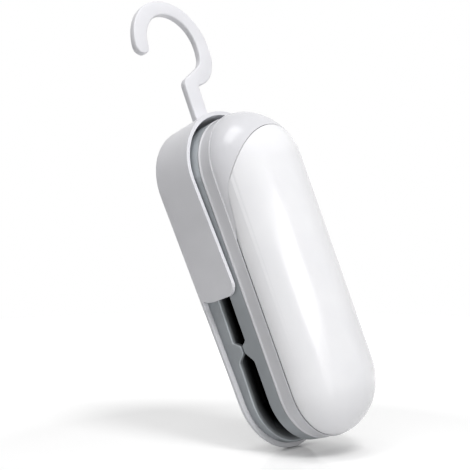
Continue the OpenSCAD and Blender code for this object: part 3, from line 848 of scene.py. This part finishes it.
def mouldedPlastic(name, s):
    # moulded ABS or nylon: even colour with a slow drift, gloss that wanders a little, and the mould's fine grain
    made, tree, shader, place = startMaterial(name)
    drift = addNode(
        tree, "ShaderNodeTexNoise", {"Scale": 1 / (s["driftMm"] * mm), "Detail": moulded["driftDetail"]},
        {"Vector": place},
    )
    tone = addNode(tree, "ShaderNodeValToRGB", {}, {"Fac": drift.outputs["Fac"]})
    ends = tone.color_ramp.elements
    ends[0].color, ends[1].color = colour(s["dark"]), colour(s["light"])
    ends[0].position, ends[1].position = moulded["driftEnds"]
    grain = addNode(
        tree, "ShaderNodeTexNoise", {"Scale": 1 / (s["grainMm"] * mm), "Detail": moulded["grainDetail"]},
        {"Vector": place},
    ).outputs["Fac"]
    low, high = s["rough"]
    gloss = addNode(tree, "ShaderNodeMapRange", {"To Min": low, "To Max": high}, {"Value": grain})
    bump = addNode(
        tree, "ShaderNodeBump", {"Strength": s["bump"], "Distance": s["depthMm"] * mm}, {"Height": grain}
    )
    tint = tone.outputs["Color"]
    if "mask" in s:
        # where shade is painted into the colour, the shine is turned down with it, so the painted shade covers the
        # reflections too
        shade = s["mask"](tree, place, s)
        tint = addNode(tree, "ShaderNodeHueSaturation", {}, {"Color": tint, "Value": shade}).outputs["Color"]
        level = shader.inputs["Specular IOR Level"]
        shine = addNode(tree, "ShaderNodeMath", {"operation": "MULTIPLY", 1: level.default_value}, {0: shade})
        tree.links.new(shine.outputs["Value"], level)
    tree.links.new(tint, shader.inputs["Base Color"])
    tree.links.new(gloss.outputs["Result"], shader.inputs["Roughness"])
    tree.links.new(bump.outputs["Normal"], shader.inputs["Normal"])
    shader.inputs["IOR"].default_value = s["ior"]
    return made


drawn = {"stretch": (1.0, 0.08, 1.0), "detail": 4.0, "bump": 0.15, "depthMm": 0.02}


def drawnMetal(name, s):
    # drawn or rolled metal: fine lengthwise scratches that break the shine
    made, tree, shader, place = startMaterial(name)
    along = addNode(tree, "ShaderNodeMapping", {"Scale": drawn["stretch"]}, {"Vector": place})
    streaks = addNode(
        tree, "ShaderNodeTexNoise", {"Scale": 1 / (s["streakMm"] * mm), "Detail": drawn["detail"]},
        {"Vector": along.outputs["Vector"]},
    ).outputs["Fac"]
    tone = addNode(tree, "ShaderNodeValToRGB", {}, {"Fac": streaks})
    ends = tone.color_ramp.elements
    ends[0].color, ends[1].color = colour(s["dark"]), colour(s["light"])
    low, high = s["rough"]
    gloss = addNode(tree, "ShaderNodeMapRange", {"To Min": low, "To Max": high}, {"Value": streaks})
    bump = addNode(
        tree, "ShaderNodeBump", {"Strength": drawn["bump"], "Distance": drawn["depthMm"] * mm}, {"Height": streaks}
    )
    tree.links.new(tone.outputs["Color"], shader.inputs["Base Color"])
    tree.links.new(gloss.outputs["Result"], shader.inputs["Roughness"])
    tree.links.new(bump.outputs["Normal"], shader.inputs["Normal"])
    shader.inputs["Metallic"].default_value = 1.0
    return made


# both sides of the slot: painted shade inside, a painted highlight along the rounded edge
slotShadeAndHighlight = {
    "mask": paintedSlotShade, "darkMm": (13.0, 18.2), "darkPower": 2.0, "creaseMm": 2.0, "creaseShade": 0.8,
    "edgeMm": (17.95, 18.15, 18.4, 18.48), "edgeHighlight": 1.5,
}
# grain is drawn a little coarser than the real mould texture so that it shows
plastics = {
    "doorAbsPolished": {  # white ABS from a polished mould: clear soft reflections
        "dark": "#eeeef1", "light": "#f4f4f6", "driftMm": 18, "grainMm": 0.8, "rough": (0.17, 0.23),
        "bump": 0.04, "depthMm": 0.02, "ior": 1.53,
    },
    "capAbsPolished": {  # the same polished ABS, a shade greyer than the door: partly its own tone, partly painted shade on the rim band; painted shade in the seam's crease
        "dark": "#d8d8dc", "light": "#dfdfe3", "driftMm": 18, "grainMm": 0.8, "rough": (0.17, 0.23),
        "bump": 0.04, "depthMm": 0.02, "ior": 1.53, "mask": paintedCreaseShade, "creaseMm": 3.0, "creaseShade": 0.5,
    },
    "shellAbsSatin": {  # white ABS from a satin mould: broad dull highlights; painted shade on the ledge top
        "dark": "#e3e3e7", "light": "#ebebef", "driftMm": 16, "grainMm": 0.5, "rough": (0.3, 0.4),
        "bump": 0.05, "depthMm": 0.02, "ior": 1.53, "mask": paintedLedgeShade,
        "ledgeMm": (1.2, 1.5, 2.0, 2.8), "ledgeShade": 0.8,
    },
    "frameAbsSparkMould": {  # grey ABS from a spark-eroded mould: matt, finely pebbled; painted shade in the slot, painted highlight on its rounded edge
        "dark": "#9ea3a7", "light": "#a7acb0", "driftMm": 9, "grainMm": 0.35, "rough": (0.48, 0.62),
        "bump": 0.22, "depthMm": 0.03, "ior": 1.53, **slotShadeAndHighlight,
    },
    "padSiliconePaintedBlack": {  # moulded silicone coloured black as painted shade, so it reads as the dark inside of the slot, with the slot's painted shade on top: dull, slightly mottled
        "dark": "#161617", "light": "#1f1f21", "driftMm": 6, "grainMm": 0.6, "rough": (0.6, 0.75),
        "bump": 0.25, "depthMm": 0.05, "ior": 1.41, **slotShadeAndHighlight,
    },
    "trayAbsBlack": {  # black ABS from a plain mould: deep black with a soft even shine
        "dark": "#1c1d1f", "light": "#26272a", "driftMm": 9, "grainMm": 0.5, "rough": (0.4, 0.55),
        "bump": 0.15, "depthMm": 0.03, "ior": 1.53,
    },
    "cellFilm": {  # shrink film on the cells: smooth with faint ripples
        "dark": "#1f5a45", "light": "#256a52", "driftMm": 7, "grainMm": 3.0, "rough": (0.2, 0.3),
        "bump": 0.1, "depthMm": 0.05, "ior": 1.5,
    },
    "carrierPhenolic": {  # pressed phenolic resin: dark brown and speckled
        "dark": "#3c2619", "light": "#553624", "driftMm": 1.2, "grainMm": 0.5, "rough": (0.5, 0.65),
        "bump": 0.2, "depthMm": 0.03, "ior": 1.6,
    },
    "boardSolderMask": {  # cured solder mask over woven glass: glossy green, faintly mottled
        "dark": "#12472b", "light": "#1a5a37", "driftMm": 1.5, "grainMm": 0.6, "rough": (0.3, 0.42),
        "bump": 0.12, "depthMm": 0.02, "ior": 1.5,
    },
    "plungerNylon": {  # natural nylon: waxy off-white
        "dark": "#d6d3c6", "light": "#e0ddd1", "driftMm": 4, "grainMm": 0.5, "rough": (0.35, 0.45),
        "bump": 0.08, "depthMm": 0.02, "ior": 1.53,
    },
    "leadPvcRed": {  # extruded red PVC jacket: smooth, with a dull waxy shine
        "dark": "#8e1a16", "light": "#a3221d", "driftMm": 3, "grainMm": 0.4, "rough": (0.35, 0.5),
        "bump": 0.1, "depthMm": 0.02, "ior": 1.53,
    },
    "leadPvcBlack": {  # extruded black PVC jacket: smooth, with a dull waxy shine
        "dark": "#161616", "light": "#222222", "driftMm": 3, "grainMm": 0.4, "rough": (0.35, 0.5),
        "bump": 0.1, "depthMm": 0.02, "ior": 1.53,
    },
}
metals = {
    "steelDrawn": {  # drawn steel: bright and grey, with fine streaks in its shine
        "dark": "#a9abad", "light": "#c6c8ca", "streakMm": 0.4, "rough": (0.22, 0.36),
    },
    "brassStamped": {  # brass stamped from rolled strip: warm yellow, softly streaked
        "dark": "#b58d45", "light": "#cda75c", "streakMm": 0.5, "rough": (0.25, 0.4),
    },
}
finishes = {name: mouldedPlastic(name, s) for name, s in plastics.items()}
finishes.update({name: drawnMetal(name, s) for name, s in metals.items()})

cloth = {
    "dark": "#a98553", "light": "#c49f68", "threadMm": 0.9, "waver": 0.4, "rough": 0.45, "bump": 0.3, "depthMm": 0.05,
}


def glassCloth(name, s):
    # PTFE-coated glass cloth: tan, waxy, with the weave showing through
    made, tree, shader, place = startMaterial(name)
    threads = 2 * math.pi / 20 / (s["threadMm"] * mm)  # at scale 1 the wave node repeats every 2 pi / 20
    waves = {}
    for i, axis in enumerate("XY"):
        waves[i] = addNode(
            tree, "ShaderNodeTexWave", {"bands_direction": axis, "Scale": threads, "Distortion": s["waver"]},
            {"Vector": place},
        ).outputs["Fac"]
    weave = addNode(tree, "ShaderNodeMath", {"operation": "MAXIMUM"}, waves).outputs["Value"]
    tone = addNode(tree, "ShaderNodeValToRGB", {}, {"Fac": weave})
    ends = tone.color_ramp.elements
    ends[0].color, ends[1].color = colour(s["dark"]), colour(s["light"])
    bump = addNode(
        tree, "ShaderNodeBump", {"Strength": s["bump"], "Distance": s["depthMm"] * mm}, {"Height": weave}
    )
    tree.links.new(tone.outputs["Color"], shader.inputs["Base Color"])
    tree.links.new(bump.outputs["Normal"], shader.inputs["Normal"])
    shader.inputs["Roughness"].default_value = s["rough"]
    return made


finishes["coverGlassCloth"] = glassCloth("coverGlassCloth", cloth)

dress = {
    "doorAbsPolished": [doorPiece],
    "capAbsPolished": [frontShellPiece],
    "shellAbsSatin": [shellPiece],
    "frameAbsSparkMould": [rearFramePiece, frontFramePiece],
}
dressNodes = {
    "padSiliconePaintedBlack": ["sealing_pad"],
    "trayAbsBlack": ["battery_tray", "tact_switch"],
    "cellFilm": ["battery_cell_1", "battery_cell_2"],
    "carrierPhenolic": ["heater_carrier"],
    "coverGlassCloth": ["heater_cover"],
    "boardSolderMask": ["switch_board"],
    "plungerNylon": ["switch_plunger"],
    "leadPvcRed": ["heater_leads"],
    "leadPvcBlack": ["battery_leads"],
    "steelDrawn": [
        "rear_screws", "front_screws", "hinge_pin", "return_spring", "battery_springs",
        "contact_bridge", "contact_plus", "contact_minus", "heater_strip",
    ],
    "brassStamped": ["heater_terminals"],
}
for name, names in dressNodes.items():
    dress.setdefault(name, []).extend(nodes[n] for n in names)
for name, pieces in dress.items():
    for piece in pieces:
        piece.data.materials.clear()
        piece.data.materials.append(finishes[name])
print("materials:", len(finishes))

# the part stands on its tail in the photograph, so the floor lies square to the picture there
stage = {
    "size": 1.6,
    "white": 0.7,
    "lift": 0.47,
    "nearMm": 90,
    "farMm": 220,
    "shine": 0.15,
    "shineRough": 0.04,
    "contactMm": 13,
    "contactSamples": 16,
    "contactRange": (0.1, 0.9),
    "skyFill": 0.13,
}
floorUp = camUp.normalized()
newPieces = (shellPiece, rearFramePiece, frontFramePiece, frontShellPiece, doorPiece)
lowest = min(floorUp.dot(v.co) for piece in newPieces for v in piece.data.vertices)
contact = aimPoint - floorUp * (floorUp.dot(aimPoint) - lowest)
bpy.ops.object.select_all(action="DESELECT")
bpy.ops.mesh.primitive_plane_add(size=stage["size"], location=contact)
floor = bpy.context.object
floor.name = "floor"
floor.rotation_euler = floorUp.to_track_quat("Z", "Y").to_euler()
bpy.ops.object.transform_apply(location=True, rotation=True, scale=True)


def seenRays(tree):
    # what the camera sees, straight, in a reflection or through glass
    rays = addNode(tree, "ShaderNodeLightPath").outputs
    seen = rays["Is Camera Ray"]
    for kind in ("Is Transmission Ray", "Is Glossy Ray"):
        seen = addNode(tree, "ShaderNodeMath", {"operation": "MAXIMUM"}, {0: seen, 1: rays[kind]}).outputs["Value"]
    return seen


floorPaint = bpy.data.materials.new("floorPaint")
floorPaint.use_nodes = True
tree = floorPaint.node_tree
tree.nodes.remove(tree.nodes["Principled BSDF"])
matt = addNode(tree, "ShaderNodeBsdfDiffuse", {"Color": (stage["white"],) * 3 + (1,)})
shine = addNode(tree, "ShaderNodeBsdfGlossy", {"Roughness": stage["shineRough"]})
paint = addNode(
    tree, "ShaderNodeMixShader", {0: stage["shine"]}, {1: matt.outputs["BSDF"], 2: shine.outputs["BSDF"]}
)
spot = addNode(tree, "ShaderNodeTexCoord")
reach = addNode(tree, "ShaderNodeVectorMath", {"operation": "DISTANCE", 1: contact}, {0: spot.outputs["Object"]})
# white to the eye, less so near the part, where its shadow falls
lift = addNode(
    tree, "ShaderNodeMapRange",
    {"From Min": stage["nearMm"] * mm, "From Max": stage["farMm"] * mm, "To Min": stage["lift"], "To Max": 1.0},
    {"Value": reach.outputs["Value"]},
)
# painted contact shadow: close under the part the floor's glow is turned down by an occlusion node, so it stays dark
near = addNode(
    tree, "ShaderNodeAmbientOcclusion",
    {"samples": stage["contactSamples"], "Distance": stage["contactMm"] * mm},
)
covered, bare = stage["contactRange"]
contactShadow = addNode(
    tree, "ShaderNodeMapRange", {"From Min": covered, "From Max": bare}, {"Value": near.outputs["AO"]}
)
lit = addNode(
    tree, "ShaderNodeMath", {"operation": "MULTIPLY"}, {0: contactShadow.outputs["Result"], 1: lift.outputs["Result"]}
)
glowAmount = addNode(tree, "ShaderNodeMath", {"operation": "MULTIPLY"}, {0: seenRays(tree), 1: lit.outputs["Value"]})
glow = addNode(tree, "ShaderNodeEmission", {"Color": (1, 1, 1, 1)}, {"Strength": glowAmount.outputs["Value"]})
both = addNode(tree, "ShaderNodeAddShader", {}, {0: paint.outputs["Shader"], 1: glow.outputs["Emission"]})
# seen from below, the floor is clear
clear = addNode(tree, "ShaderNodeBsdfTransparent")
sides = addNode(tree, "ShaderNodeNewGeometry")
faceUp = addNode(
    tree, "ShaderNodeMixShader", {},
    {0: sides.outputs["Backfacing"], 1: both.outputs["Shader"], 2: clear.outputs["BSDF"]},
)
tree.links.new(faceUp.outputs["Shader"], tree.nodes["Material Output"].inputs["Surface"])
floor.data.materials.append(floorPaint)

# soft studio light: a tall softbox near the camera, one high at the right that throws the shadow, one overhead
lamps = {
    "softboxTall": {"right": 0.31, "up": 0.08, "back": 0.47, "size": (0.12, 0.3), "watts": 0.9, "mirrored": True},
    "softboxHigh": {"right": 0.13, "up": 0.42, "back": 0.28, "size": (0.14, 0.14), "watts": 1.35, "mirrored": False},
    "softboxTop": {"right": -0.12, "up": 0.47, "back": 0.16, "size": (0.3, 0.16), "watts": 0.6, "mirrored": True},
}
for name, s in lamps.items():
    place = aimPoint + camRight * s["right"] + camUp * s["up"] + camBack * s["back"]
    bpy.ops.object.select_all(action="DESELECT")
    bpy.ops.object.light_add(type="AREA", location=place)
    lamp = bpy.context.object
    lamp.name = name
    lamp.data.shape = "RECTANGLE"
    lamp.data.size, lamp.data.size_y = s["size"]
    lamp.data.energy = s["watts"]
    lamp.visible_glossy = s["mirrored"]
    lamp.rotation_euler = (place - aimPoint).to_track_quat("Z", "Y").to_euler()

world = bpy.data.worlds.new("studio")
scene.world = world
world.use_nodes = True
tree = world.node_tree
sky = tree.nodes["Background"]
sky.inputs["Color"].default_value = (1, 1, 1, 1)
level = addNode(tree, "ShaderNodeMapRange", {"To Min": stage["skyFill"], "To Max": 1.0}, {"Value": seenRays(tree)})
tree.links.new(level.outputs["Result"], sky.inputs["Strength"])
print("stage and light set")
